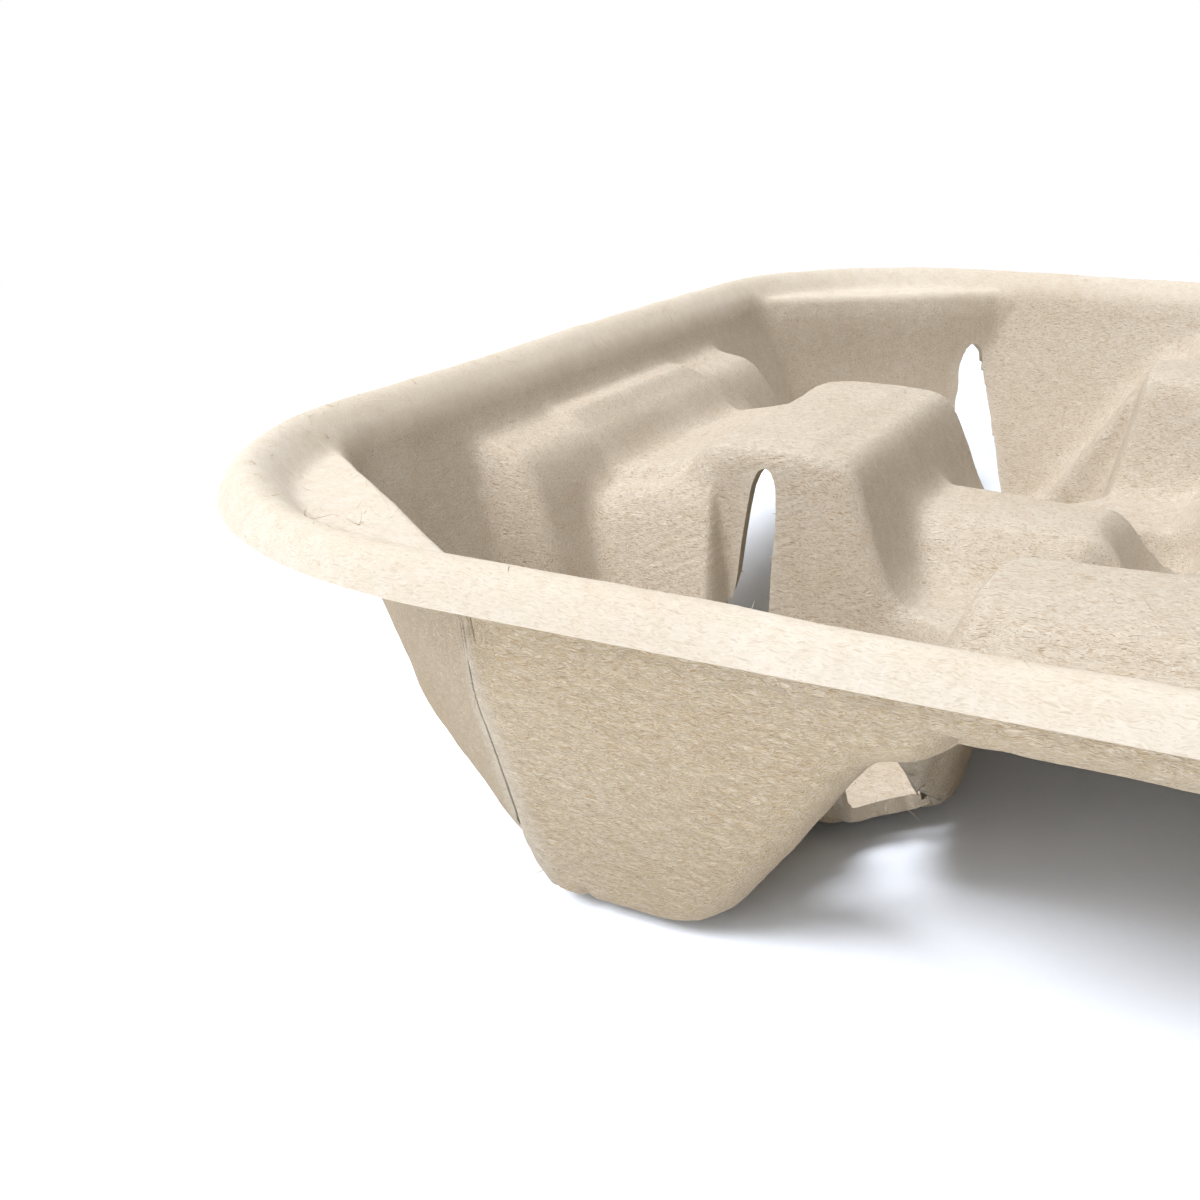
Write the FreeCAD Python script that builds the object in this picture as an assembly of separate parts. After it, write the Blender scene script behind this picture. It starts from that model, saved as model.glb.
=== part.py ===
import FreeCAD, Part
import math
import os

# Moulded fibre carrier for four cups. The tray is one pressed sheet of plant pulp.
# Half a turn brings it onto itself. The ground is Z = 0 and the origin is the middle of the base.
# The sheet is the room that the upper face encloses, grown by the wall, less that room itself.

WALL = 2.0

# rim, a round bead whose outer side ends in a short flange
CREST_HALF = 102.5
CREST_Z = 45.0
CREST_CORNER = 43.5
RIM_ROOT = 5.0
BEAD_HALF = 2.4
BEAD_FLAT_HALF = 0.9
BEAD_SAG = 1.3
BEAD_WALL = 1.6
FLANGE_REACH = 3.1
FLANGE_DROP = 3.2
EDGE_LEAN = 0.8
EDGE_HEIGHT = 1.4

# levels of the upper face
SHELF_Z = 41.5
LEDGE_Z = 37.0
PLATFORM_Z = 26.0
LAND_Z = 18.0
SIDE_SADDLE_Z = 28.0
FRONT_SADDLE_Z = 32.0
WELL_FLOOR_Z = 13.0

# outer walls, as half sizes of the room at three levels
WALL_TOP = 98.0
WALL_LEDGE = 96.3
WALL_FLOOR = 79.0

# short walls across the corners: the way they face and their distance from the middle at ledge height
CORNER_WALL_ANGLE = 50.6
CORNER_WALL_LEDGE = 110.8
CORNER_WALL_LEAN = 2.0
CORNER_WALL_SPREAD = 11.5
PAN_ROUND = 14.0

# cup cells
CELL_CENTRE = 54.0
CELL_TOP_RADIUS = 34.0
CELL_FLOOR_RADIUS = 26.0
CELL_ROUND = 9.0

# bosses between neighbouring cells
BOSS_CENTRE = 60.0
BOSS_TOP_WIDTH = 20.0
BOSS_TOP_LENGTH = 50.0
BOSS_TIP_SPREAD = 4.0
BOSS_FLANK_SPREAD = 13.0
BOSS_ROUND = 6.0
BOSS_BEVEL = 3.0

# arms of the platform, which reach from the bosses to the well
ARM_HALF = 9.0
ARM_SPREAD = 8.0

# ridges from the bosses to the outer walls
RIDGE_SLOPE = 0.62
RIDGE_FLOOR_HALF = 46.5
SADDLE_GAP = 6.0
FRONT_SADDLE_HALF = 23.0

# shoulders on the left and right walls
SHOULDER_REACH = 8.0
SHOULDER_HALF = 40.0
SHOULDER_SPREAD = 10.0
SHOULDER_ROUND = 5.0

# slots that let the cell walls give, and slits that stay closed
BOSS_SLOT_LINE = 60.0
BOSS_SLOT_TOP = 33.5
BOSS_SLOT_LOW_WIDTH = 9.0
BOSS_SLOT_FLARE = 11.0
BOSS_SLOT_DEPTH = 8.0
SLOT_TOP_WIDTH = 4.5
WALL_SLOT_LINE = 62.2
WALL_SLOT_TOP = 31.5
WALL_SLOT_LOW_WIDTH = 14.0
SLIT_LINE = 61.2
SLIT_TOP = 38.0
SLIT_WIDTH = 1.2
SLOT_END_RADIUS = 17.0

# well in the middle
WELL_RADIUS = 22.0
WELL_FLOOR_RADIUS = 14.0
LOBE_CENTRE = 16.0
LOBE_RADIUS = 10.0
LOBE_FLOOR_RADIUS = 5.0

V = FreeCAD.Vector
ORIGIN = V(0, 0, 0)
UP = V(0, 0, 1)
OVERLAP = 0.5
FACING_X = math.cos(math.radians(CORNER_WALL_ANGLE))
FACING_Y = math.sin(math.radians(CORNER_WALL_ANGLE))


def tapered(low, high, low_z, high_z):
    """A solid between two outlines with parallel sides, given counter-clockwise as lists of (x, y)."""
    bottom = [V(x, y, low_z) for x, y in low]
    top = [V(x, y, high_z) for x, y in high]
    rings = [bottom[::-1], top]
    for i in range(len(low)):
        j = (i + 1) % len(low)
        rings.append([bottom[i], bottom[j], top[j], top[i]])
    shell = Part.Shell([Part.Face(Part.makePolygon(ring + [ring[0]])) for ring in rings])
    shell.sewShape()
    return Part.Solid(shell)


def rectangle(x0, x1, y0, y1):
    return [(x0, y0), (x1, y0), (x1, y1), (x0, y1)]


def rising_edges(shape):
    """The edges that climb from one level to another."""
    return [edge for edge in shape.Edges if edge.BoundBox.ZLength > 1]


def edges_at(shape, z):
    """The edges that lie flat at height z."""
    return [edge for edge in shape.Edges
            if abs(edge.BoundBox.ZMin - z) < 0.01 and abs(edge.BoundBox.ZMax - z) < 0.01]


def four_ways(shape):
    """The shape in each of the four quarters of the tray."""
    pair = [shape, shape.mirror(ORIGIN, V(1, 0, 0))]
    return pair + [one.mirror(ORIGIN, V(0, 1, 0)) for one in pair]


def turned(shape, angle):
    copy = shape.copy()
    copy.rotate(ORIGIN, UP, angle)
    return copy


def corner_ends(half, corner_wall):
    """Where the short wall across a corner meets the side walls, from the middle of each."""
    return (corner_wall - half * FACING_Y) / FACING_X, (corner_wall - half * FACING_X) / FACING_Y


def pan(grow):
    """The eight-sided room above the ledges, whose short sides bound the corner shelves."""
    def ring(z):
        share = (z - LEDGE_Z) / (SHELF_Z - LEDGE_Z)
        half = WALL_LEDGE + (WALL_TOP - WALL_LEDGE) * share + grow
        cut_x, cut_y = corner_ends(half, CORNER_WALL_LEDGE + CORNER_WALL_LEAN * share + grow)
        quarter = [(half, -cut_y), (half, cut_y), (cut_x, half), (-cut_x, half)]
        return quarter + [(-x, -y) for x, y in quarter]
    low_z = LEDGE_Z - grow
    high_z = SHELF_Z + 2 * (WALL - grow)
    body = tapered(ring(low_z), ring(high_z), low_z, high_z)
    return body.makeFillet(PAN_ROUND + grow, rising_edges(body))


def cell(grow):
    """One cup cell: straight on its two outer sides, cut off at the tray's corner, round inside."""
    floor_z = WALL - grow
    top_z = LEDGE_Z + OVERLAP

    def ring(outer, corner_wall, radius):
        half = outer + grow
        inner = CELL_CENTRE - radius - grow
        cut_x, cut_y = corner_ends(half, corner_wall + grow)
        corner = [(-half, -cut_y), (-cut_x, -half)]
        elbow = [(-inner, -half), (-inner, -CELL_CENTRE), (-CELL_CENTRE, -CELL_CENTRE)]
        return corner + elbow + [(-CELL_CENTRE, -inner), (-half, -inner)]
    low = ring(WALL_FLOOR, CORNER_WALL_LEDGE - CORNER_WALL_SPREAD, CELL_FLOOR_RADIUS)
    high = ring(WALL_LEDGE, CORNER_WALL_LEDGE, CELL_TOP_RADIUS)
    body = tapered(low, high, floor_z, top_z)
    corners = [edge for edge in rising_edges(body)
               if edge.CenterOfMass.x + edge.CenterOfMass.y < -2 * CELL_CENTRE - CELL_ROUND]
    body = body.makeFillet(CELL_ROUND + grow, corners)
    quarter = Part.makeCone(CELL_FLOOR_RADIUS + grow, CELL_TOP_RADIUS + grow, top_z - floor_z,
                            V(-CELL_CENTRE, -CELL_CENTRE, floor_z), UP, 90)
    return body.fuse(quarter).removeSplitter()


def boss(grow):
    """The raised block between two cells, with a flat top and steep tips that face the cups."""
    top = LEDGE_Z - grow

    def ring(wider, longer):
        half_wide = BOSS_TOP_WIDTH / 2 + wider - grow
        half_long = BOSS_TOP_LENGTH / 2 + longer - grow
        return rectangle(-BOSS_CENTRE - half_wide, -BOSS_CENTRE + half_wide, -half_long, half_long)
    body = tapered(ring(BOSS_FLANK_SPREAD, BOSS_TIP_SPREAD), ring(0, 0), 0, top)
    body = body.makeFillet(BOSS_ROUND - grow, rising_edges(body))
    return body.makeChamfer(BOSS_BEVEL - grow / 2, edges_at(body, top))


def arm(grow):
    """A bank across the middle of the tray, level with the platform."""
    def ring(spread):
        half = ARM_HALF + spread - grow
        return rectangle(-BOSS_CENTRE, BOSS_CENTRE, -half, half)
    return tapered(ring(ARM_SPREAD), ring(0), WELL_FLOOR_Z - grow, PLATFORM_Z - grow)


def ridge(grow, top):
    """The bank that carries the boss to the outer wall and parts the two cells there."""
    half_top = RIDGE_FLOOR_HALF - RIDGE_SLOPE * top - grow
    half_floor = RIDGE_FLOOR_HALF - grow
    low = rectangle(-CREST_HALF, -BOSS_CENTRE, -half_floor, half_floor)
    high = rectangle(-CREST_HALF, -BOSS_CENTRE, -half_top, half_top)
    return tapered(low, high, 0, top - grow)


def shoulder(grow):
    """The step at ledge height that stiffens a side wall between its two corners."""
    def ring(reach, half):
        inner = WALL_LEDGE - reach + grow
        return rectangle(-CREST_HALF, -inner, -half + grow, half - grow)
    low = ring(SHOULDER_REACH + WALL_LEDGE - WALL_FLOOR, SHOULDER_HALF + SHOULDER_SPREAD)
    high = ring(SHOULDER_REACH, SHOULDER_HALF)
    body = tapered(low, high, 0, LEDGE_Z - grow)
    inner_edges = [edge for edge in rising_edges(body) if edge.CenterOfMass.x > OVERLAP - CREST_HALF]
    return body.makeFillet(SHOULDER_ROUND - grow, inner_edges)


def well(grow):
    """The four-lobed well in the middle of the tray."""
    height = PLATFORM_Z + OVERLAP - WELL_FLOOR_Z + grow

    def cone(x, y, low, high):
        return Part.makeCone(low + grow, high + grow, height, V(x, y, WELL_FLOOR_Z - grow), UP)
    lobes = four_ways(cone(LOBE_CENTRE, LOBE_CENTRE, LOBE_FLOOR_RADIUS, LOBE_RADIUS))
    return cone(0, 0, WELL_FLOOR_RADIUS, WELL_RADIUS).multiFuse(lobes)


def lowered(half_x, half_y, level, grow):
    """A flat field below the ledges."""
    field = rectangle(-half_x - grow, half_x + grow, -half_y - grow, half_y + grow)
    return tapered(field, field, level - grow, LEDGE_Z + OVERLAP)


def room(grow):
    """Everything that the upper face encloses, grown on every side by the given amount."""
    platform_half = BOSS_CENTRE - BOSS_TOP_WIDTH / 2
    boss_half = BOSS_TOP_LENGTH / 2
    low = four_ways(cell(grow))
    low.append(lowered(platform_half, platform_half, LAND_Z, grow))
    low.append(lowered(WALL_LEDGE - SHOULDER_REACH, boss_half, SIDE_SADDLE_Z, grow))
    low.append(lowered(FRONT_SADDLE_HALF, WALL_LEDGE - SADDLE_GAP, FRONT_SADDLE_Z, grow))
    side_ridge = ridge(grow, SIDE_SADDLE_Z)
    front_ridge = turned(ridge(grow, FRONT_SADDLE_Z), 90)
    block = boss(grow)
    step = shoulder(grow)
    bank = arm(grow)
    raised = [bank, turned(bank, 90)]
    for half_turn in (0, 180):
        raised += [turned(one, half_turn) for one in (block, turned(block, 90), side_ridge, front_ridge, step)]
    cells = low[0].multiFuse(low[1:])
    cells = cells.cut(raised[0].multiFuse(raised[1:]))
    return cells.multiFuse([pan(grow), well(grow)]).removeSplitter()


def rim_section():
    """The bead from the shelf over the crest to the cut edge, in the plane X = 0."""
    def at(out, z):
        return V(0, -out, z)
    root = CREST_HALF - RIM_ROOT
    tip = CREST_HALF + FLANGE_REACH
    tip_z = CREST_Z - FLANGE_DROP
    bead_z = CREST_Z - BEAD_SAG
    inside = at(CREST_HALF - BEAD_HALF, bead_z)
    outside = at(CREST_HALF + BEAD_HALF, bead_z)
    under_in = at(CREST_HALF - BEAD_HALF + WALL / 2, bead_z - BEAD_WALL)
    under_out = at(CREST_HALF + BEAD_HALF - WALL / 2, bead_z - BEAD_WALL)
    under_top = at(CREST_HALF, CREST_Z - WALL)
    flat_in = at(CREST_HALF - BEAD_FLAT_HALF, CREST_Z)
    flat_out = at(CREST_HALF + BEAD_FLAT_HALF, CREST_Z)
    edge_out = at(tip, tip_z)
    edge_in = at(tip - EDGE_LEAN, tip_z - EDGE_HEIGHT)
    edges = [
        Part.makeLine(at(root, SHELF_Z - WALL), at(root, SHELF_Z)),
        Part.makeLine(at(root, SHELF_Z), inside),
        Part.makeLine(inside, flat_in),
        Part.makeLine(flat_in, flat_out),
        Part.makeLine(flat_out, outside),
        Part.makeLine(outside, edge_out),
        Part.makeLine(edge_out, edge_in),
        Part.makeLine(edge_in, under_out),
        Part.makeLine(under_out, under_top),
        Part.makeLine(under_top, under_in),
        Part.makeLine(under_in, at(root + WALL, SHELF_Z - WALL)),
        Part.makeLine(at(root + WALL, SHELF_Z - WALL), at(root, SHELF_Z - WALL)),
    ]
    return Part.Face(Part.Wire(edges))


def rim():
    """Straight runs and quarter turns of the same section."""
    straight = CREST_HALF - CREST_CORNER
    section = rim_section()
    start = section.copy()
    start.translate(V(-straight, 0, 0))
    end = section.copy()
    end.translate(V(straight, 0, 0))
    side = [start.extrude(V(2 * straight, 0, 0)), end.revolve(V(straight, -straight, 0), UP, 90)]
    pieces = []
    for quarter in range(4):
        pieces += [turned(one, 90 * quarter) for one in side]
    return pieces[0].multiFuse(pieces[1:]).removeSplitter()


def shelf_plate():
    """The flat sheet at shelf height that the corner shelves are cut from."""
    half = CREST_HALF - RIM_ROOT + WALL / 2
    square = rectangle(-half, half, -half, half)
    plate = tapered(square, square, SHELF_Z - WALL, SHELF_Z)
    return plate.makeFillet(CREST_CORNER - RIM_ROOT + WALL / 2, rising_edges(plate))


def slot(line, start, end, top_width, low_width, top, flare):
    """A cutter for one slot along Y: round at its top, wider below, and flared where it meets the floor."""
    ground = -WALL / 2
    half_top = top_width / 2
    half_low = low_width / 2

    def at(out, z):
        return V(-line + out, start, z)
    cap = Part.Arc(at(-half_top, top - half_top), at(0, top), at(half_top, top - half_top)).toShape()
    edges = [cap]
    for sign in (-1, 1):
        shoulder_z = ground + flare
        edges.append(Part.makeLine(at(sign * half_top, top - half_top), at(sign * half_low, shoulder_z)))
        if flare > 0:
            bend = 1 - math.sqrt(0.5)
            foot = at(sign * (half_low + flare), ground)
            middle = at(sign * (half_low + flare * bend), ground + flare * bend)
            edges.append(Part.Arc(at(sign * half_low, shoulder_z), middle, foot).toShape())
    reach = half_low + flare
    edges.append(Part.makeLine(at(-reach, ground), at(reach, ground)))
    loop = Part.Wire(Part.__sortEdges__(edges))
    return Part.Face(loop).extrude(V(0, end - start, 0))


def slots():
    """Slots in the boss tips and in two outer walls, with a closed slit in the other two."""
    inner = -CELL_CENTRE + SLOT_END_RADIUS
    outer = -CELL_CENTRE - SLOT_END_RADIUS
    boss_end = -BOSS_TOP_LENGTH / 2 + BOSS_SLOT_DEPTH
    tip = slot(BOSS_SLOT_LINE, inner, boss_end, SLOT_TOP_WIDTH, BOSS_SLOT_LOW_WIDTH, BOSS_SLOT_TOP,
               BOSS_SLOT_FLARE)
    wall = slot(WALL_SLOT_LINE, -CREST_HALF, outer, SLOT_TOP_WIDTH, WALL_SLOT_LOW_WIDTH, WALL_SLOT_TOP, 0)
    slit = slot(SLIT_LINE, -CREST_HALF, outer, SLIT_WIDTH, SLIT_WIDTH, SLIT_TOP, 0)
    back_wall = wall.mirror(ORIGIN, V(0, 1, 0))
    front_tip = tip.mirror(ORIGIN, V(1, -1, 0))
    cutters = four_ways(tip)
    for one in (front_tip, back_wall, slit):
        cutters += [one, turned(one, 180)]
    return cutters


def tray():
    outside = shelf_plate().fuse(room(WALL))
    sheet = outside.cut(room(0)).fuse(rim())
    return sheet.cut(slots()).removeSplitter().Solids[0]


carrier = tray()
os.makedirs("parts", exist_ok=True)
carrier.exportStep("parts/carrier_tray.step")
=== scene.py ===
import math
from collections import namedtuple

import bpy
import numpy as np
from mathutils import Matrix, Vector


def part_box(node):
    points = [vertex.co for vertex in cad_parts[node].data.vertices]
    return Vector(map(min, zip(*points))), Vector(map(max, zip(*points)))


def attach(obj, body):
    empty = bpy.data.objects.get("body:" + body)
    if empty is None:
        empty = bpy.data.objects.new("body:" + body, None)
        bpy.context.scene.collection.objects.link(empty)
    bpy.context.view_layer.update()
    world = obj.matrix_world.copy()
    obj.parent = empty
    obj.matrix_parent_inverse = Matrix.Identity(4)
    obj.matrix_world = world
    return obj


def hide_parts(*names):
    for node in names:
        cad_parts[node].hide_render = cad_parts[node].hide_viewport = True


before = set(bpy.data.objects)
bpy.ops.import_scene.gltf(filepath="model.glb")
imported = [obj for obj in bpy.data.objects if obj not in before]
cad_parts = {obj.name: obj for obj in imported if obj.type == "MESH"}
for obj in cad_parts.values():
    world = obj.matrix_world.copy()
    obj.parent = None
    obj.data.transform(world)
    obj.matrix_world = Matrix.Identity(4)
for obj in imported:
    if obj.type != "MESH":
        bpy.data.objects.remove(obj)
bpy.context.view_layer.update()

# A four-cup carrier of moulded plant fibre: one pressed sheet with a smooth upper face and a rougher back.
# Sizes are in millimetres until a mesh is made. X and Y run along the sides and the ground is Z = 0.

MM = 0.001
low_corner, high_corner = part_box("carrier_tray")
TIP_HALF = (high_corner[0] - low_corner[0]) / 2 / MM
CREST_Z = (high_corner[2] - low_corner[2]) / MM

SHEET = 1.95
FLANGE_REACH = 3.1
CREST_HALF = TIP_HALF - FLANGE_REACH
CREST_CORNER = 43.5
CORE = CREST_HALF - CREST_CORNER
FLANGE_DROP = 3.2
RIM_ROOT = 4.5

FLOOR_Z = 2.0
SHELF_Z = CREST_Z - 3.5
LEDGE_Z = CREST_Z - 8.0
PLATFORM_Z = CREST_Z - 19.0
LAND_Z = CREST_Z - 27.0
SIDE_SADDLE_Z = CREST_Z - 18.0
FRONT_SADDLE_Z = CREST_Z - 13.0
WELL_FLOOR_Z = 13.0

WALL_TOP = 98.0
WALL_LEDGE = 96.3
WALL_FLOOR = 79.7
CORNER_WALL_ANGLE = math.radians(50.6)
CORNER_WALL_LEDGE = 112.3
CORNER_WALL_FLOOR = 101.2
CORNER_SHELF = 110.6
CORNER_TUCK = 95.6
TUCK_SLOPE = 1.15
CELL_CENTRE = 54.0
CELL_TOP_RADIUS = 34.0
CELL_FLOOR_RADIUS = 26.0

BOSS_CENTRE = 60.0
BOSS_HALF_WIDTH = 10.0
BOSS_HALF_LENGTH = 25.0
SHOULDER_REACH = 8.0
SHOULDER_HALF = 40.0
RIDGE_FLOOR_HALF = 46.5
RIDGE_SLOPE = 0.62
SIDE_BANK_START = 59.5
FRONT_BANK_START = 55.0
ARM_HALF = 9.0
ARM_SLOPE = 1.625
ARM_RISE = 0.03
TIP_SLOPE = 6.0
FLANK_SLOPE = 2.6
SKIRT_REACH = 45.5
ROOM_SLOPE = 3.0

WALL_SLOT_LINE = 61.7
SLOT_OUTER_END = 71.0
SLOT_BOSS_END = 19.0
TIP_SLOT_END = 42.0
HOLD_SHARE = 0.52

WELL_FLOOR_RADIUS = 14.0
LOBE_CENTRE = 16.0
LOBE_FLOOR_RADIUS = 5.0

COLUMNS = 300
ROWS = 310
HAIR_RINGS = 5
TORN_ENDS = 1500
LINT_ENDS = 5200

PALE = "#DFD6C8"
WARM = "#D7CCBB"
SHADED = "#C6B498"
# The two screen-side colours are the pulp colours made darker and warmer: painted shade for the back of the
# sheet, the feet and the outer walls, which face away from the lamps.
SCREEN_PALE_PAINTED_SHADE = "#C0AE92"
SCREEN_WARM_PAINTED_SHADE = "#B8A382"
PALE_THREAD = "#E4DCCE"
DARK_THREAD = "#B39A78"
BROWN_THREAD = "#94744F"

ROOM_LIGHT = 0.27
OVERHEAD_POWER = 11.2
FRONT_POWER = 6.6
FLOOR_POWER = 14.5
COOL = (0.99, 1.0, 1.03)


def soft_max(a, b, reach):
    """The larger of two heights, rounded where they come within reach of each other."""
    share = np.clip(0.5 + 0.5 * (a - b) / reach, 0.0, 1.0)
    return b + (a - b) * share + reach * share * (1.0 - share)


def soft_min(a, b, reach):
    return -soft_max(-a, -b, reach)


def lattice_noise(x, y, z, size, seed):
    """Smooth noise from -1 to 1: random values on a cubic lattice, eased between the corners."""
    table = np.random.default_rng(seed).uniform(-1.0, 1.0, (32, 32, 32))
    cells = [np.floor(c / size).astype(int) for c in (x, y, z)]
    parts = [c / size - n for c, n in zip((x, y, z), cells)]
    ease = [p * p * (3.0 - 2.0 * p) for p in parts]
    total = np.zeros_like(x, dtype=float)
    for i in (0, 1):
        for j in (0, 1):
            for k in (0, 1):
                weight = 1.0
                for step, e in zip((i, j, k), ease):
                    weight = weight * (e if step else 1.0 - e)
                total += weight * table[(cells[0] + i) % 32, (cells[1] + j) % 32, (cells[2] + k) % 32]
    return total


def corner_distance(X, Y):
    """How far out a point lies, along the way that the short corner walls face."""
    return X * math.cos(CORNER_WALL_ANGLE) + Y * math.sin(CORNER_WALL_ANGLE)


def cell_height(X, Y):
    """A cup cell: the highest of its sloping walls and its floor.

    Past the wall slot, the corner's foot is tucked in.
    """
    rise = LEDGE_Z - FLOOR_Z
    straight = rise / (WALL_LEDGE - WALL_FLOOR)
    side_x = FLOOR_Z + (X - WALL_FLOOR) * straight
    side_y = FLOOR_Z + (Y - WALL_FLOOR) * straight
    corner = corner_distance(X, Y) - CORNER_WALL_FLOOR
    corner = FLOOR_Z + corner * rise / (CORNER_WALL_LEDGE - CORNER_WALL_FLOOR)
    tuck = FLOOR_Z + TUCK_SLOPE * (corner_distance(X, Y) - CORNER_TUCK)
    corner = soft_max(corner, np.where(X > WALL_SLOT_LINE - 0.4, tuck, -20.0), 2.0)
    radius = np.hypot(np.maximum(CELL_CENTRE - X, 0), np.maximum(CELL_CENTRE - Y, 0))
    inner = FLOOR_Z + (radius - CELL_FLOOR_RADIUS) * rise / (CELL_TOP_RADIUS - CELL_FLOOR_RADIUS)
    walls = soft_max(soft_max(side_x, side_y, 8.0), corner, 4.0)
    walls = soft_max(walls, inner, 12.0)
    return soft_max(FLOOR_Z + 0 * X, walls, 2.0)


def boss_height(across, along, skirted):
    """A block between two cells: the lowest of a crowned top, two flanks and two steep tips.

    On a skirted boss the tips spread at the floor.
    """
    top = LEDGE_Z + 0.3 - 0.9 * (across / BOSS_HALF_WIDTH) ** 2 - 0.5 * (along / BOSS_HALF_LENGTH) ** 4
    tips = LEDGE_Z - (along - BOSS_HALF_LENGTH) * TIP_SLOPE
    if skirted:
        reach = SKIRT_REACH - 0.035 * (3.0 - across) ** 2
        tips = soft_max(tips, FLOOR_Z + 0.07 * np.maximum(reach - along, 0.0) ** 2, 4.0)
    flanks = LEDGE_Z - (np.abs(across) - BOSS_HALF_WIDTH) * FLANK_SLOPE
    return soft_min(top, soft_min(tips, flanks, 16.0), 5.0)


def rim_distance(x, y):
    """Distance from the crest line of the rim, below zero inside it."""
    return np.hypot(np.maximum(np.abs(x) - CORE, 0), np.maximum(np.abs(y) - CORE, 0)) - CREST_CORNER


def saddle_top(X):
    """The top of the bank beside the left and right walls, which falls a little towards the wall."""
    return SIDE_SADDLE_Z + 0.25 * (WALL_LEDGE - SHOULDER_REACH - X)


def face_height(x, y):
    """Height of the upper face. Rooms are joined by soft minima and raised forms by soft maxima.

    Raised forms are the bosses, the arms, the banks between a boss and its wall, and the step on the
    side walls.
    """
    X = np.abs(x)
    Y = np.abs(y)
    far = np.maximum(X, Y)
    land = soft_max(LAND_Z + 0 * X, LAND_Z + ROOM_SLOPE * (far - 50.0), 4.0)
    side = soft_max(saddle_top(X), SIDE_SADDLE_Z + ROOM_SLOPE * (X - WALL_LEDGE + SHOULDER_REACH), 4.0)
    side = soft_max(side, SIDE_SADDLE_Z + ROOM_SLOPE * (Y - 30.0), 4.0)
    front = soft_max(FRONT_SADDLE_Z + 0 * X, FRONT_SADDLE_Z + ROOM_SLOPE * (Y - WALL_LEDGE + 6.0), 4.0)
    front = soft_max(front, FRONT_SADDLE_Z + ROOM_SLOPE * (X - 24.0), 4.0)
    rooms = cell_height(X, Y)
    for room in (land, side, front):
        rooms = soft_min(rooms, room, 5.0)

    raised = soft_max(boss_height(X - BOSS_CENTRE, Y, False), boss_height(Y - BOSS_CENTRE, X, True), 4.0)
    arm_top = PLATFORM_Z - ARM_RISE * (50.0 - far)
    arm = soft_min(arm_top - (np.minimum(X, Y) - ARM_HALF) * ARM_SLOPE, arm_top, 5.0)
    raised = soft_max(raised, arm, 4.0)
    bank = soft_min(saddle_top(X), (RIDGE_FLOOR_HALF - Y) / RIDGE_SLOPE, 5.0)
    raised = soft_max(raised, soft_min(bank, (X - SIDE_BANK_START) * 4.0, 4.0), 5.0)
    bank = soft_min(FRONT_SADDLE_Z + 0 * X, (RIDGE_FLOOR_HALF - X) / RIDGE_SLOPE, 4.0)
    raised = soft_max(raised, soft_min(bank, (Y - FRONT_BANK_START) * 6.0, 6.0), 5.0)
    step_top = LEDGE_Z - 0.3 * (94.0 - X)
    step = soft_min(step_top, LEDGE_Z - (WALL_LEDGE - SHOULDER_REACH - X) * 2.14, 6.0)
    step = soft_min(step, LEDGE_Z - (Y - SHOULDER_HALF) * 3.7, 10.0)
    raised = soft_max(raised, step, 4.0)
    low = soft_max(rooms, raised, 7.0)

    out = np.hypot(X, Y)
    well = WELL_FLOOR_Z + (out - WELL_FLOOR_RADIUS) * 1.62
    lobe = WELL_FLOOR_Z + (np.hypot(X - LOBE_CENTRE, Y - LOBE_CENTRE) - LOBE_FLOOR_RADIUS) * 2.6
    well = soft_max(soft_min(well, lobe, 3.0), WELL_FLOOR_Z + 0 * X, 5.0)
    low = soft_min(low, well, 3.0)

    inner = soft_min(LEDGE_Z + 0 * X, low, 4.0)
    groove = 2.2 * np.exp(-((X - WALL_SLOT_LINE) / 3.0) ** 2) * (x * y < 0)
    walls = soft_max(X - WALL_LEDGE, Y - WALL_LEDGE - groove, 6.0)
    corner = corner_distance(X, Y) - CORNER_SHELF
    walls = soft_max(walls, np.where(corner < 0, 4.0 * corner, corner), 3.0)
    steep = (SHELF_Z - LEDGE_Z) / (WALL_TOP - WALL_LEDGE)
    face = soft_max(inner, LEDGE_Z + walls * steep, 3.0)
    face = soft_min(face, SHELF_Z + 0 * X, 2.5)

    d = rim_distance(x, y)
    outside = CREST_Z - FLANGE_DROP * np.abs(d / FLANGE_REACH) ** 2.1
    inside = soft_min(CREST_Z - 0.16 * d * d, CREST_Z - FLANGE_DROP + (d + RIM_ROOT) * 3.0, 1.0)
    return np.where(d > 0, outside, soft_max(face, inside, 2.0))


def spaced(count, crowds):
    """Grid lines over the full width, closer together around each (place, spread, weight)."""
    fine = np.linspace(-TIP_HALF, TIP_HALF, 6000)
    density = np.ones_like(fine)
    for place, spread, weight in crowds:
        density += weight * np.exp(-((fine - place) / spread) ** 2)
    total = np.cumsum(density)
    total = (total - total[0]) / (total[-1] - total[0])
    return np.interp(np.linspace(0.0, 1.0, count), total, fine)


def rounded_square(a, b):
    """Bends a square grid so that its outer lines follow the rim around each corner."""
    da = np.maximum(np.abs(a) - CORE, 0.0)
    db = np.maximum(np.abs(b) - CORE, 0.0)
    reach = np.maximum(da, db)
    safe = np.maximum(reach, 1e-9)
    angle = np.where(da >= db, 0.25 * math.pi * db / safe, 0.5 * math.pi - 0.25 * math.pi * da / safe)
    corner = (da > 0) & (db > 0)
    x = np.where(corner, CORE + reach * np.cos(angle), np.abs(a))
    y = np.where(corner, CORE + reach * np.sin(angle), np.abs(b))
    return np.sign(a) * x, np.sign(b) * y


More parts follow.
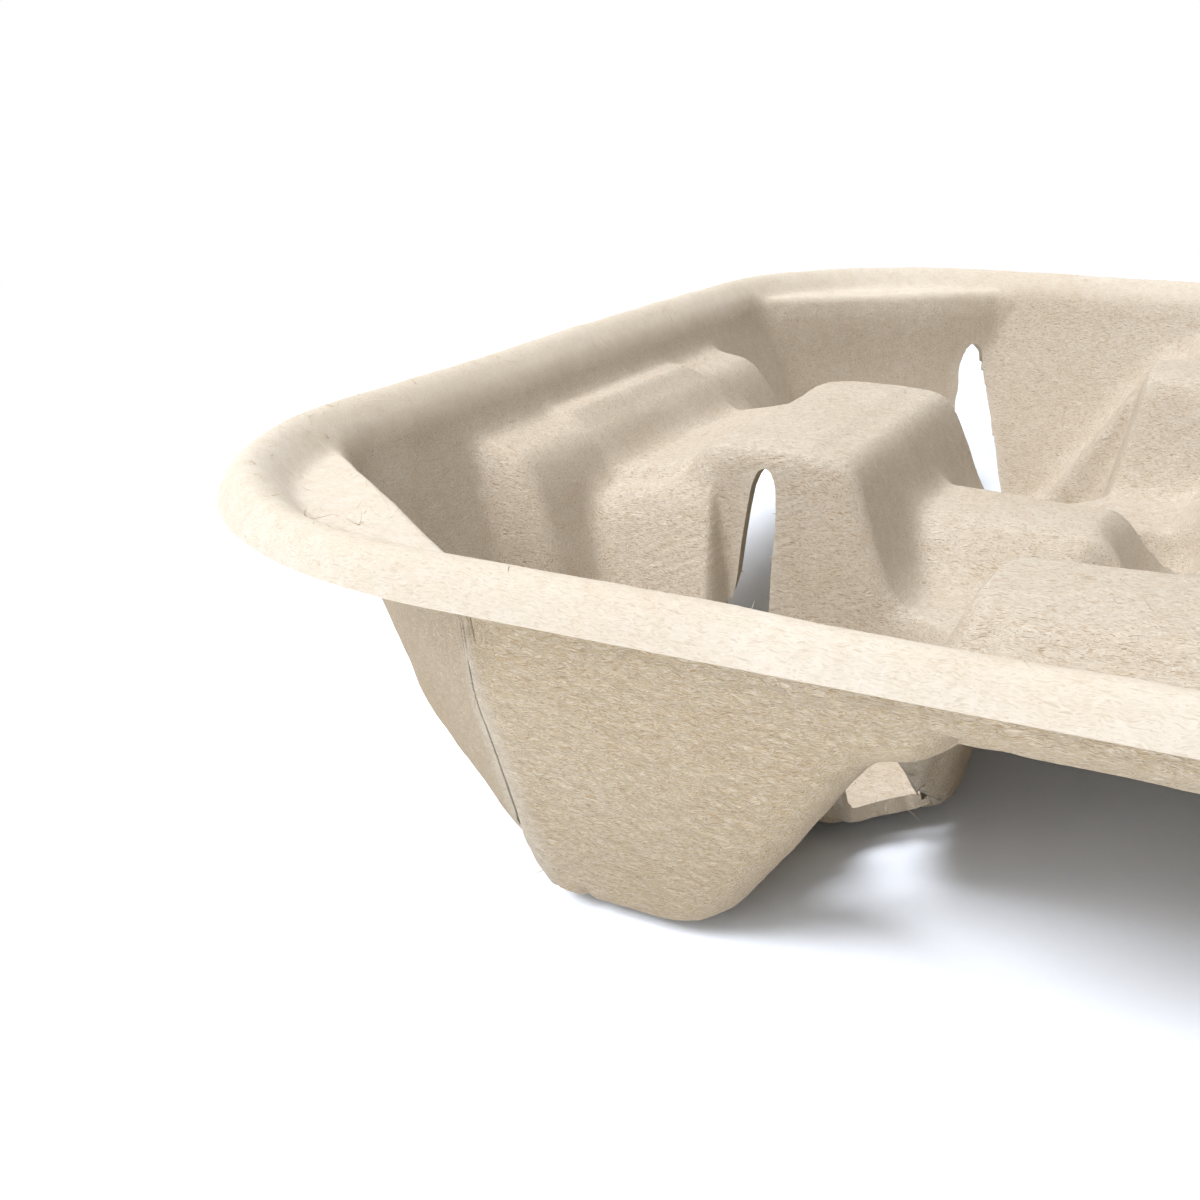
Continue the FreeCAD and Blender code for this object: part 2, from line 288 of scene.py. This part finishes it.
# line: distance of the slot's line from the middle. edges: sideways from that line, at the slot's top
# and at the floor. flare: how far both edges spread near the floor. cap: height of the round top.
Slot = namedtuple("Slot", "line top edges_at_top edges_at_floor flare cap")
SLOTS = {
    "tip": Slot(61.0, 33.5, (-2.0, 2.0), (-3.2, 3.2), 3.0, 5.0),
    "arch": Slot(60.0, 33.5, (-2.0, 2.0), (-3.2, 3.2), 13.0, 5.0),
    "wall": Slot(WALL_SLOT_LINE, 31.8, (-1.9, 1.9), (-12.0, 0.5), 0.0, 4.5),
    "slit": Slot(61.2, 34.0, (-0.12, 0.12), (-0.2, 0.2), 0.0, 2.0),
}


def slot_edges(z, kind, seed):
    """Both edges of a slot at height z, sideways from its line: round at the top, torn a little."""
    slot = SLOTS[kind]
    cap_start = slot.top - slot.cap
    low_part = np.minimum(z, cap_start)
    share = np.clip(low_part / cap_start, 0.0, 1.0)
    spread = slot.flare * np.clip((14.0 - z) / 11.0, 0.0, 1.0) ** 1.6
    round_off = np.sqrt(1.0 - np.clip((z - cap_start) / slot.cap, 0.0, 1.0) ** 2)
    edges = []
    for way, high, low in zip((-1, 1), slot.edges_at_top, slot.edges_at_floor):
        torn = 0.16 * lattice_noise(low_part, z * 0, z * 0, 2.6, seed + way) * min(1.0, high * way)
        edges.append((low + (high - low) * share + way * spread + torn) * round_off)
    return edges


def slot_top(off, z, kind, seed):
    """Height of a slot's round top, off sideways from its line: a quarter ellipse on each side."""
    slot = SLOTS[kind]
    cap_start = slot.top - slot.cap
    low, high = slot_edges(z * 0 + cap_start, kind, seed)
    share = np.clip(np.where(off > 0, off / high, off / low), 0.0, 1.0)
    return cap_start + slot.cap * np.sqrt(1.0 - share ** 2)


def lip_line(off, kind):
    """How far a boss's slot runs out: to a low lip above the floor, further on the side of the outer wall."""
    if kind == "tip":
        return TIP_SLOT_END + 0 * off
    end = np.where(off < 0, 39.8 - 0.035 * (3.0 - off) ** 2, 39.5 + 0.35 * off)
    return end + 0.25 * lattice_noise(off, off * 0, off * 0, 1.7, 60)


def slot_reach(off, along, z, kind):
    """Below zero between the two ends of a slot, and well above zero over its top."""
    ends = SLOT_OUTER_END - along
    if kind in ("tip", "arch"):
        ends = np.maximum(along - lip_line(off, kind), SLOT_BOSS_END - along)
    return np.where(z < SLOTS[kind].top, ends, 9.0)


def slot_list():
    """Every slot as (kind, runs along Y, sign of x, sign of y), with the seed of its torn edges."""
    found = [("tip", True, sx, sy) for sx in (-1, 1) for sy in (-1, 1)]
    for way in (-1, 1):
        found += [("arch", False, way, way), ("wall", True, way, -way), ("slit", True, way, way)]
    return [(one, 40 + 3 * number) for number, one in enumerate(found)]


def slot_coordinates(x, y, one):
    """Distance sideways from the slot's line, and along it from the tray's middle."""
    kind, along_y, sx, sy = one
    if along_y:
        return x * sx - SLOTS[kind].line, y * sy
    return y * sy - SLOTS[kind].line, x * sx


def slot_gap(x, y, z, one, seed):
    """Below zero inside a slot."""
    kind = one[0]
    off, along = slot_coordinates(x, y, one)
    low, high = slot_edges(z, kind, seed)
    return np.maximum(np.maximum(off - high, low - off), slot_reach(off, along, z, kind))


def slots_around(x, y, z):
    """Distance from the nearest slot, below zero inside one."""
    gap = np.full_like(z, 99.0)
    for one, seed in slot_list():
        gap = np.minimum(gap, slot_gap(x, y, z, one, seed))
    return gap


def raise_to_top(off, along, z, one, seed, free):
    """Moves the last free point below a slot's round top up to it, between two neighbours on a grid line."""
    kind, along_y = one[:2]
    slot = SLOTS[kind]
    axis = 1 if along_y else 0
    top = slot_top(off, z, kind, seed)
    low, high = slot_edges(z * 0 + slot.top - slot.cap, kind, seed)
    inside = (off > low) & (off < high) & free & (z < top)
    inside &= slot_reach(off, along, z * 0, kind) < 0
    moved = np.zeros(off.shape, dtype=bool)
    for shift in (1, -1):
        next_z = np.roll(z, shift, axis=axis)
        next_along = np.roll(along, shift, axis=axis)
        crossing = inside & ~moved & (next_z >= top)
        share = (top - z) / np.where(crossing, next_z - z, 1.0)
        along = np.where(crossing, along + share * (next_along - along), along)
        moved |= crossing
    return along, moved


def snap_to_slots(x, y):
    """Moves the grid points next to a slot's edge onto it, so that the edge runs true.

    The height changes with each move, so the points that are held follow the edge for four turns.
    """
    gap_x = np.abs(np.gradient(x, axis=0))
    gap_y = np.abs(np.gradient(y, axis=1))
    on_edge = np.zeros(x.shape, dtype=bool)
    for one, seed in slot_list():
        kind, along_y, sx, sy = one
        slot = SLOTS[kind]
        step, other_step = (gap_x, gap_y) if along_y else (gap_y, gap_x)
        held = [None, None]
        on_lip = raised = np.zeros(x.shape, dtype=bool)
        for turn in range(4):
            z = face_height(x, y)
            off, along = slot_coordinates(x, y, one)
            edges = slot_edges(z, kind, seed)
            for side, edge in enumerate(edges):
                if turn == 0:
                    close = np.abs(off - edge) < HOLD_SHARE * step
                    held[side] = (slot_reach(off, along, z, kind) < 0.6) & close
                    if kind == "wall":
                        held[side] &= z < slot.top - 0.5 * slot.cap
                off = np.where(held[side], edge, off)
            if kind in ("tip", "arch"):
                lip = lip_line(off, kind)
                if turn == 0:
                    between = (off > edges[0] - 0.1) & (off < edges[1] + 0.1)
                    on_lip = between & (np.abs(along - lip) < HOLD_SHARE * other_step)
                along = np.where(on_lip, lip, along)
            if turn == 0 and kind != "slit":
                along, raised = raise_to_top(off, along, z, one, seed, ~held[0] & ~held[1])
            if along_y:
                x, y = (off + slot.line) * sx, along * sy
            else:
                x, y = along * sx, (off + slot.line) * sy
        settled = held[0] | held[1] | on_lip
        if kind == "wall":
            settled &= np.abs(slot_gap(x, y, face_height(x, y), one, seed)) < 0.5
        on_edge |= settled | raised
    return x, y, on_edge


def grid_normals(points):
    """Unit normals of a grid surface, from the steps between neighbouring points."""
    across = np.gradient(points, axis=0)
    along = np.gradient(points, axis=1)
    normal = np.cross(across, along)
    normal = normal / np.maximum(np.linalg.norm(normal, axis=2, keepdims=True), 1e-9)
    normal[np.ix_([0, -1], [0, -1])] = normal[np.ix_([1, -2], [1, -2])]
    return normal


def pressed_sheet():
    """Both faces of the sheet on one grid, and how far each point lies from the nearest slot."""
    rim_lines = [(-103, 2.5, 1.6), (103, 2.5, 1.2)]
    x_crowds = [(-31, 7, 1.6), (-88, 14, 1.1), (-61, 6, 1.6), (-50, 60, 0.7), (31, 7, 1.0), (61, 6, 0.9),
                (90, 9, 0.5)]
    y_crowds = [(-31, 7, 1.8), (-88, 14, 1.1), (-60, 9, 1.0), (31, 7, 1.6), (88, 12, 0.8), (60, 8, 0.6)]
    xs = spaced(COLUMNS, rim_lines + x_crowds)
    ys = spaced(ROWS, rim_lines + y_crowds)
    a, b = np.meshgrid(xs, ys, indexing="ij")
    x, y = rounded_square(a, b)
    x, y, on_edge = snap_to_slots(x, y)
    z = face_height(x, y)
    gap = slots_around(x, y, z)
    gap[on_edge] = 0.0
    points = np.stack([x, y, z], axis=2)
    normal = grid_normals(points)
    swell = 0.30 * lattice_noise(x, y, z, 21.0, 1) + 0.14 * lattice_noise(x, y, z, 7.0, 2)
    swell += 0.05 * lattice_noise(x, y, z, 2.3, 3)
    upper = points + normal * np.clip(swell - 0.2, -0.6, 0.05)[:, :, None]
    back = 0.12 * lattice_noise(x, y, z, 5.0, 4) + 0.08 * lattice_noise(x, y, z, 1.8, 5)
    creases = np.clip(1.0 - 5.0 * np.abs(lattice_noise(x, y, z, 4.2, 6)), 0.0, 1.0)
    back -= 0.55 * creases * np.clip((9.0 - z) / 6.0, 0.0, 1.0)
    lower = points - normal * (SHEET - 0.12 + back)[:, :, None]
    lower[:, :, 2] = np.maximum(lower[:, :, 2], 0.0)
    return upper, lower, gap


def solid_triangles(gap):
    """The grid's squares as triangles without the slots, each square cut along the slot's edge."""
    index = np.arange(gap.size).reshape(gap.shape)
    a, b, c, d = index[:-1, :-1], index[1:, :-1], index[1:, 1:], index[:-1, 1:]
    flat = gap.ravel()
    first_way = np.abs(flat[a]) + np.abs(flat[c]) <= np.abs(flat[b]) + np.abs(flat[d])
    one = np.where(first_way[..., None], np.stack([a, b, c], axis=2), np.stack([b, c, d], axis=2))
    two = np.where(first_way[..., None], np.stack([a, c, d], axis=2), np.stack([d, a, b], axis=2))
    both = np.concatenate([one.reshape(-1, 3), two.reshape(-1, 3)])
    return both[flat[both].sum(axis=1) > 0.02]


def make_mesh(name, points, faces, layers):
    """A smooth mesh from points in millimetres, kept inside the solid's box."""
    mesh = bpy.data.meshes.new(name)
    points = np.clip(points, (-TIP_HALF, -TIP_HALF, 0.0), (TIP_HALF, TIP_HALF, CREST_Z))
    mesh.from_pydata((points * MM).tolist(), [], faces)
    for layer, values in layers.items():
        attribute = mesh.attributes.new(layer, "FLOAT", "POINT")
        attribute.data.foreach_set("value", values.astype(np.float32))
    mesh.shade_smooth()
    obj = bpy.data.objects.new(name, mesh)
    bpy.context.scene.collection.objects.link(obj)
    return obj


def boundary_edges(faces):
    """Edges that only one face uses, in that face's direction."""
    starts = faces.ravel()
    ends = np.roll(faces, -1, axis=1).ravel()
    low = np.minimum(starts, ends)
    high = np.maximum(starts, ends)
    key = low.astype(np.int64) * (int(high.max()) + 1) + high
    _, first, count = np.unique(key, return_index=True, return_counts=True)
    single = first[count == 1]
    return starts[single], ends[single]


def face_layers(points, gap):
    """Where the wire marks of the mould show, and where the face was pressed smooth."""
    x, y, z = points[:, 0], points[:, 1], points[:, 2]
    X = np.abs(x)
    Y = np.abs(y)
    near_side = np.exp(-((X - BOSS_CENTRE) / 17.0) ** 2) * np.clip((Y - 16.0) / 8.0, 0, 1) * (Y < 44)
    near_front = np.exp(-((Y - BOSS_CENTRE - 14.0) / 14.0) ** 2) * (X < 34)
    marks = np.clip(near_side + near_front, 0, 1) * (z < LEDGE_Z)
    smooth = np.clip((z - SHELF_Z + 1.5) / 1.0, 0, 1)
    edge = np.clip(1.0 - gap / 2.0, 0.0, 1.0)
    return {"marks": marks, "smooth": smooth, "edge": edge}


def tray_meshes():
    """The pressed face, the face on the screen side with the cut edges, and points for the fibres."""
    upper, lower, gap = pressed_sheet()
    triangles = solid_triangles(gap)
    flat_upper = upper.reshape(-1, 3)
    flat_lower = lower.reshape(-1, 3)
    flat_gap = gap.ravel()

    used = np.unique(triangles)
    renumber = np.zeros(gap.size, dtype=int)
    renumber[used] = np.arange(len(used))
    top = make_mesh("pressed_face", flat_upper[used], renumber[triangles].tolist(),
                    face_layers(flat_upper[used], flat_gap[used]))

    starts, ends = boundary_edges(triangles)
    edge = np.unique(np.concatenate([starts, ends]))
    order = np.zeros(gap.size, dtype=int)
    order[edge] = np.arange(len(edge))
    points = np.concatenate([flat_lower[used], flat_upper[edge], flat_lower[edge]])
    upper_ring = len(used) + order
    lower_ring = upper_ring + len(edge)
    walls = np.stack([upper_ring[ends], upper_ring[starts], lower_ring[starts], lower_ring[ends]], axis=1)
    back = renumber[triangles[:, ::-1]]
    gaps = np.concatenate([flat_gap[used], np.zeros(2 * len(edge))])
    under = make_mesh("screen_face", points, back.tolist() + walls.tolist(), face_layers(points, gaps))
    edge_points = flat_upper[edge], flat_lower[edge]
    return top, under, edge_points, flat_upper[used], grid_normals(upper).reshape(-1, 3)[used]


def hairs(name, roots, directions, lengths, radius, seed):
    """Fine bent fibres: each a three-sided tube along a curved line that thins towards its end."""
    rng = np.random.default_rng(seed)
    count = len(roots)
    bend = rng.normal(0, 0.35, (count, 3))
    steps = np.linspace(0, 1, HAIR_RINGS)[None, :, None]
    path = roots[:, None, :] + directions[:, None, :] * lengths[:, None, None] * steps
    path = path + bend[:, None, :] * lengths[:, None, None] * steps ** 2
    helper = np.where(np.abs(directions[:, 2:3]) > 0.8, [[1.0, 0, 0]], [[0, 0, 1.0]])
    side = np.cross(directions, helper)
    side /= np.linalg.norm(side, axis=1, keepdims=True)
    other = np.cross(directions, side)
    angles = np.arange(3) * 2 * math.pi / 3
    ring = side[:, None, :] * np.cos(angles)[None, :, None]
    ring = ring + other[:, None, :] * np.sin(angles)[None, :, None]
    taper = (1.0 - 0.7 * np.linspace(0, 1, HAIR_RINGS))[None, :, None, None]
    points = path[:, :, None, :] + ring[:, None, :, :] * radius[:, None, None, None] * taper
    base = np.arange(count)[:, None, None] * HAIR_RINGS * 3
    i = np.arange(HAIR_RINGS - 1)[None, :, None] * 3
    j = np.arange(3)[None, None, :]
    k = (j + 1) % 3
    faces = np.stack([base + i + j, base + i + k, base + i + 3 + k, base + i + 3 + j], axis=3).reshape(-1, 4)
    return make_mesh(name, points.reshape(-1, 3), faces.tolist(), {})


def unit(vectors):
    """Vectors brought to length one."""
    return vectors / np.maximum(np.linalg.norm(vectors, axis=1, keepdims=True), 1e-9)


def torn_fibres(edge_points):
    """Loose ends that stand out of the torn slot edges."""
    rng = np.random.default_rng(11)
    upper, lower = edge_points
    inside = rim_distance(upper[:, 0], upper[:, 1]) < -RIM_ROOT
    upper = upper[inside]
    lower = lower[inside]
    pick = rng.integers(0, len(upper), TORN_ENDS)
    share = rng.uniform(0, 1, (len(pick), 1))
    roots = upper[pick] * share + lower[pick] * (1 - share)
    roots[:, 2] = np.maximum(roots[:, 2], 0.6)
    directions = unit(rng.normal(0, 1, (len(pick), 3)))
    lengths = rng.uniform(0.3, 1.2, len(pick)) + 1.6 * rng.uniform(0, 1, len(pick)) ** 6
    short = roots[:, 2] + directions[:, 2] * lengths * 1.5 < 0.3
    directions[short, 2] = np.abs(directions[short, 2])
    radius = rng.uniform(0.03, 0.07, len(pick))
    return hairs("torn_fibres", roots, directions, lengths, radius, 12)


def lint(points, normals):
    """Short fibre ends that lie almost flat on the pressed face."""
    rng = np.random.default_rng(21)
    pick = rng.integers(0, len(points), LINT_ENDS)
    directions = rng.normal(0, 1, (len(pick), 3))
    normal = normals[pick]
    directions -= normal * np.sum(directions * normal, axis=1, keepdims=True)
    directions = unit(unit(directions) + normal * 0.10)
    lengths = rng.uniform(0.5, 1.8, len(pick))
    roots = points[pick] - normal * 0.05
    radius = rng.uniform(0.02, 0.05, len(pick))
    inside = rim_distance(roots[:, 0], roots[:, 1]) < -0.5
    return hairs("lint", roots[inside], directions[inside], lengths[inside], radius[inside], 22)


def linear(code):
    """An sRGB hex colour as linear RGBA."""
    values = [int(code[i:i + 2], 16) / 255 for i in (1, 3, 5)]
    return [v / 12.92 if v <= 0.04045 else ((v + 0.055) / 1.055) ** 2.4 for v in values] + [1.0]


def node(tree, kind, inputs=None, **settings):
    """Adds a shader node. An input is a value, or the output socket to join to it."""
    made = tree.nodes.new(kind)
    for name, value in settings.items():
        setattr(made, name, value)
    for key, value in (inputs or {}).items():
        if isinstance(value, bpy.types.NodeSocket):
            tree.links.new(value, made.inputs[key])
        else:
            made.inputs[key].default_value = value
    return made


def new_material(name):
    material = bpy.data.materials.new(name)
    material.use_nodes = True
    material.node_tree.nodes.clear()
    return material, material.node_tree


def blended(tree, factor, first, second):
    """One colour blended over another by a share."""
    mix = node(tree, "ShaderNodeMix", {0: factor, 6: first, 7: second}, data_type="RGBA")
    return mix.outputs[2]


def ranged(tree, value, low, high, out_low=0.0, out_high=1.0):
    """Stretches a value between two limits to another pair of limits."""
    made = node(tree, "ShaderNodeMapRange", {"Value": value, "From Min": low, "From Max": high,
                                             "To Min": out_low, "To Max": out_high})
    return made.outputs[0]


def combined(tree, operation, first, second):
    return node(tree, "ShaderNodeMath", {0: first, 1: second}, operation=operation).outputs[0]


def noise(tree, place, size, detail=2.0, rough=0.5):
    """Noise whose features are about as large as the given size in millimetres."""
    made = node(tree, "ShaderNodeTexNoise", {"Vector": place, "Scale": 1 / size, "Detail": detail,
                                             "Roughness": rough})
    return made.outputs["Fac"]


def strands(tree, place, seed, length, thickness, low, high):
    """Threads that lie in six directions: noise drawn out along each one and cut to thin flecks."""
    layers = None
    for number in range(6):
        turn = (0.5 * number + seed, 1.1 * number + 2 * seed, 1.9 * number + 3 * seed)
        turned = node(tree, "ShaderNodeMapping", {"Vector": place, "Rotation": turn,
                                                  "Scale": (1 / length, 1 / thickness, 1 / thickness)})
        cut = ranged(tree, noise(tree, turned.outputs[0], 1.0, 0.0), low, high)
        layers = cut if layers is None else combined(tree, "MAXIMUM", layers, cut)
    return layers


def pulp(name, rough, light, warm):
    """Pressed plant pulp: matt beige and mottled, felted from pale and brown fibres, with wire marks."""
    material, tree = new_material(name)
    coordinates = node(tree, "ShaderNodeTexCoord")
    place = node(tree, "ShaderNodeVectorMath", {0: coordinates.outputs["Object"], 1: (1000, 1000, 1000)},
                 operation="MULTIPLY").outputs[0]
    # bends the threads a little, which would else lie straight
    swirl = node(tree, "ShaderNodeTexNoise", {"Vector": place, "Scale": 1 / 1.6, "Detail": 1.0})
    bent = node(tree, "ShaderNodeVectorMath", {0: swirl.outputs["Color"], 1: (0.9, 0.9, 0.9), 2: place},
                operation="MULTIPLY_ADD").outputs[0]
    smooth = node(tree, "ShaderNodeAttribute", attribute_name="smooth").outputs["Fac"]
    # uneven stock: broad pale and warm areas, then cloudy spots a few millimetres wide
    broad = ranged(tree, noise(tree, place, 26.0, 2.0), 0.35, 0.65)
    colour = blended(tree, broad, linear(warm), linear(light))
    spots = ranged(tree, noise(tree, place, 1.9, 4.0, 0.7), 0.40, 0.72, 0.0, 0.45)
    colour = blended(tree, spots, colour, linear(SHADED))
    # the felt of single fibres, and a few darker bits of stalk
    pale = strands(tree, bent, 0.3, 1.0, 0.11, 0.60, 0.72)
    dark = strands(tree, bent, 1.7, 0.8, 0.10, 0.61, 0.72)
    brown = strands(tree, bent, 4.1, 1.1, 0.13, 0.735, 0.78)
    dark_share = ranged(tree, smooth, 0.0, 1.0, 0.34, 0.13)
    brown_share = ranged(tree, smooth, 0.0, 1.0, 0.55, 0.2)
    colour = blended(tree, combined(tree, "MULTIPLY", dark, dark_share), colour, linear(DARK_THREAD))
    colour = blended(tree, combined(tree, "MULTIPLY", pale, 0.32), colour, linear(PALE_THREAD))
    colour = blended(tree, combined(tree, "MULTIPLY", brown, brown_share), colour, linear(BROWN_THREAD))
    # torn edges are a little paler, because their fibres stand open
    torn = node(tree, "ShaderNodeAttribute", attribute_name="edge").outputs["Fac"]
    colour = blended(tree, combined(tree, "MULTIPLY", torn, 0.35), colour, linear(PALE_THREAD))
    # wire marks of the mould: slanted ridges on the flanks where the sheet was drawn deepest
    marks = node(tree, "ShaderNodeAttribute", attribute_name="marks").outputs["Fac"]
    slant = node(tree, "ShaderNodeMapping", {"Vector": place, "Rotation": (0.0, 0.45, 0.0)})
    wires = node(tree, "ShaderNodeTexWave", {"Vector": slant.outputs[0], "Scale": 0.29, "Distortion": 3.0,
                                             "Detail": 2.0, "Detail Scale": 0.5},
                 wave_type="BANDS", bands_direction="Z")
    patches = ranged(tree, noise(tree, place, 9.0, 1.0), 0.38, 0.6)
    wire_height = combined(tree, "MULTIPLY", wires.outputs["Fac"], combined(tree, "MULTIPLY", marks, patches))
    wrinkles = node(tree, "ShaderNodeMapping", {"Vector": bent, "Rotation": (0.4, 0.5, 0.9),
                                                "Scale": (0.8, 1.3, 2.2)})
    felt = combined(tree, "MULTIPLY", noise(tree, wrinkles.outputs[0], 1.0, 4.0, 0.62), 1.6)
    felt = combined(tree, "ADD", felt, combined(tree, "MULTIPLY", pale, 0.35))
    felt = combined(tree, "SUBTRACT", felt, combined(tree, "MULTIPLY", dark, 0.3))
    strength = ranged(tree, smooth, 0.0, 1.0, rough, 0.3 * rough)
    bump = node(tree, "ShaderNodeBump", {"Height": felt, "Strength": strength, "Distance": 0.00024})
    bump = node(tree, "ShaderNodeBump", {"Height": wire_height, "Strength": 0.3, "Distance": 0.00025,
                                         "Normal": bump.outputs[0]})
    surface = node(tree, "ShaderNodeBsdfPrincipled", {"Base Color": colour, "Roughness": 0.95,
                                                      "Specular IOR Level": 0.12, "Normal": bump.outputs[0]})
    node(tree, "ShaderNodeOutputMaterial", {"Surface": surface.outputs[0]})
    return material


def fibre_material():
    """Single plant fibres: straw coloured, a little paler than the sheet, from end to end."""
    material, tree = new_material("loose_fibre_drawn")
    coordinates = node(tree, "ShaderNodeTexCoord")
    mottle = node(tree, "ShaderNodeTexNoise", {"Vector": coordinates.outputs["Object"], "Scale": 400.0})
    share = ranged(tree, mottle.outputs["Fac"], 0.4, 0.6)
    colour = blended(tree, share, linear("#B79F7E"), linear("#EBDFCB"))
    surface = node(tree, "ShaderNodeBsdfPrincipled", {"Base Color": colour, "Roughness": 0.9})
    node(tree, "ShaderNodeOutputMaterial", {"Surface": surface.outputs[0]})
    return material


def floor_material():
    """Matt white board with a cool, even shadow, that runs into plain white away from the tray."""
    material, tree = new_material("matt_white_board")
    coordinates = node(tree, "ShaderNodeTexCoord")
    grain = node(tree, "ShaderNodeTexNoise", {"Vector": coordinates.outputs["Object"], "Scale": 900.0})
    colour = blended(tree, grain.outputs["Fac"], linear("#EBF1FA"), linear("#EEF4FD"))
    board = node(tree, "ShaderNodeBsdfPrincipled", {"Base Color": colour, "Roughness": 0.9,
                                                    "Specular IOR Level": 0.05})
    white = node(tree, "ShaderNodeEmission", {"Color": (1, 1, 1, 1), "Strength": 1.0})
    distance = node(tree, "ShaderNodeVectorMath", {0: coordinates.outputs["Object"]}, operation="LENGTH")
    far = ranged(tree, distance.outputs["Value"], 0.28, 0.55)
    mixed = node(tree, "ShaderNodeMixShader", {0: far, 1: board.outputs[0], 2: white.outputs[0]})
    node(tree, "ShaderNodeOutputMaterial", {"Surface": mixed.outputs[0]})
    return material


def lamp(name, place, size, power, only=None):
    """A square soft light that faces the tray. It may light one object only."""
    data = bpy.data.lights.new(name, "AREA")
    data.size = size
    data.energy = power
    data.color = COOL
    holder = bpy.data.objects.new(name, data)
    if only is not None:
        lit = bpy.data.collections.new(name + "_receiver")
        lit.objects.link(only)
        holder.light_linking.receiver_collection = lit
    x, y, z = place
    holder.location = place
    holder.rotation_euler = (math.atan2(math.hypot(x, y), z), 0, math.atan2(x, -y))
    bpy.context.scene.collection.objects.link(holder)


def studio():
    """A white floor in a white room, with soft light from above left and weaker light from the front.

    A third lamp lights only the floor, which keeps it white around the tray's shadow.
    """
    mesh = bpy.data.meshes.new("floor")
    mesh.from_pydata([(-6, -6, 0), (6, -6, 0), (6, 6, 0), (-6, 6, 0)], [], [(0, 1, 2, 3)])
    floor = bpy.data.objects.new("floor", mesh)
    bpy.context.scene.collection.objects.link(floor)
    mesh.materials.append(floor_material())

    world = bpy.data.worlds.new("white_room")
    bpy.context.scene.world = world
    world.use_nodes = True
    tree = world.node_tree
    tree.nodes.clear()
    rays = node(tree, "ShaderNodeLightPath")
    seen = combined(tree, "ADD", rays.outputs["Is Camera Ray"], rays.outputs["Is Glossy Ray"])
    seen = combined(tree, "ADD", seen, rays.outputs["Is Transmission Ray"])
    light = node(tree, "ShaderNodeBackground", {"Color": (1, 1, 1, 1), "Strength": ROOM_LIGHT})
    white = node(tree, "ShaderNodeBackground", {"Color": (1, 1, 1, 1), "Strength": 1.0})
    mixed = node(tree, "ShaderNodeMixShader", {0: seen, 1: light.outputs[0], 2: white.outputs[0]})
    node(tree, "ShaderNodeOutputWorld", {"Surface": mixed.outputs[0]})
    lamp("overhead", (-0.38, 0.08, 1.0), 0.6, OVERHEAD_POWER)
    lamp("front_left", (-0.12, -1.0, 0.6), 0.7, FRONT_POWER)
    lamp("floor_glow", (-0.3, -0.85, 0.8), 0.35, FLOOR_POWER, floor)


def camera():
    """Looks down into the tray from its front right, as close as a hand's length."""
    data = bpy.data.cameras.new("camera")
    data.sensor_width = 36.0
    data.lens = 41.6
    data.clip_start = 0.01
    holder = bpy.data.objects.new("camera", data)
    holder.location = (0.0004, -0.1885, 0.0796)
    holder.rotation_euler = (math.radians(90 - 20.3), 0, math.radians(27.6))
    bpy.context.scene.collection.objects.link(holder)
    scene = bpy.context.scene
    scene.camera = holder
    scene.render.resolution_x = 1200
    scene.render.resolution_y = 1200
    scene.view_settings.view_transform = "Standard"


def dressed(obj, material):
    """Gives a piece its material and lets it ride on the tray's body."""
    obj.data.materials.append(material)
    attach(obj, "root")


top, under, edge_points, face_points, face_normals = tray_meshes()
dressed(top, pulp("moulded_pulp_pressed", 0.55, PALE, WARM))
# The back face, feet and cut walls take the darker, warmer screen colours, which are painted shade; only
# their rougher bump is the real screen side.
dressed(under, pulp("moulded_pulp_screened_painted_shade", 0.8, SCREEN_PALE_PAINTED_SHADE, SCREEN_WARM_PAINTED_SHADE))
dressed(torn_fibres(edge_points), fibre_material())
dressed(lint(face_points, face_normals), fibre_material())
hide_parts("carrier_tray")
studio()
camera()
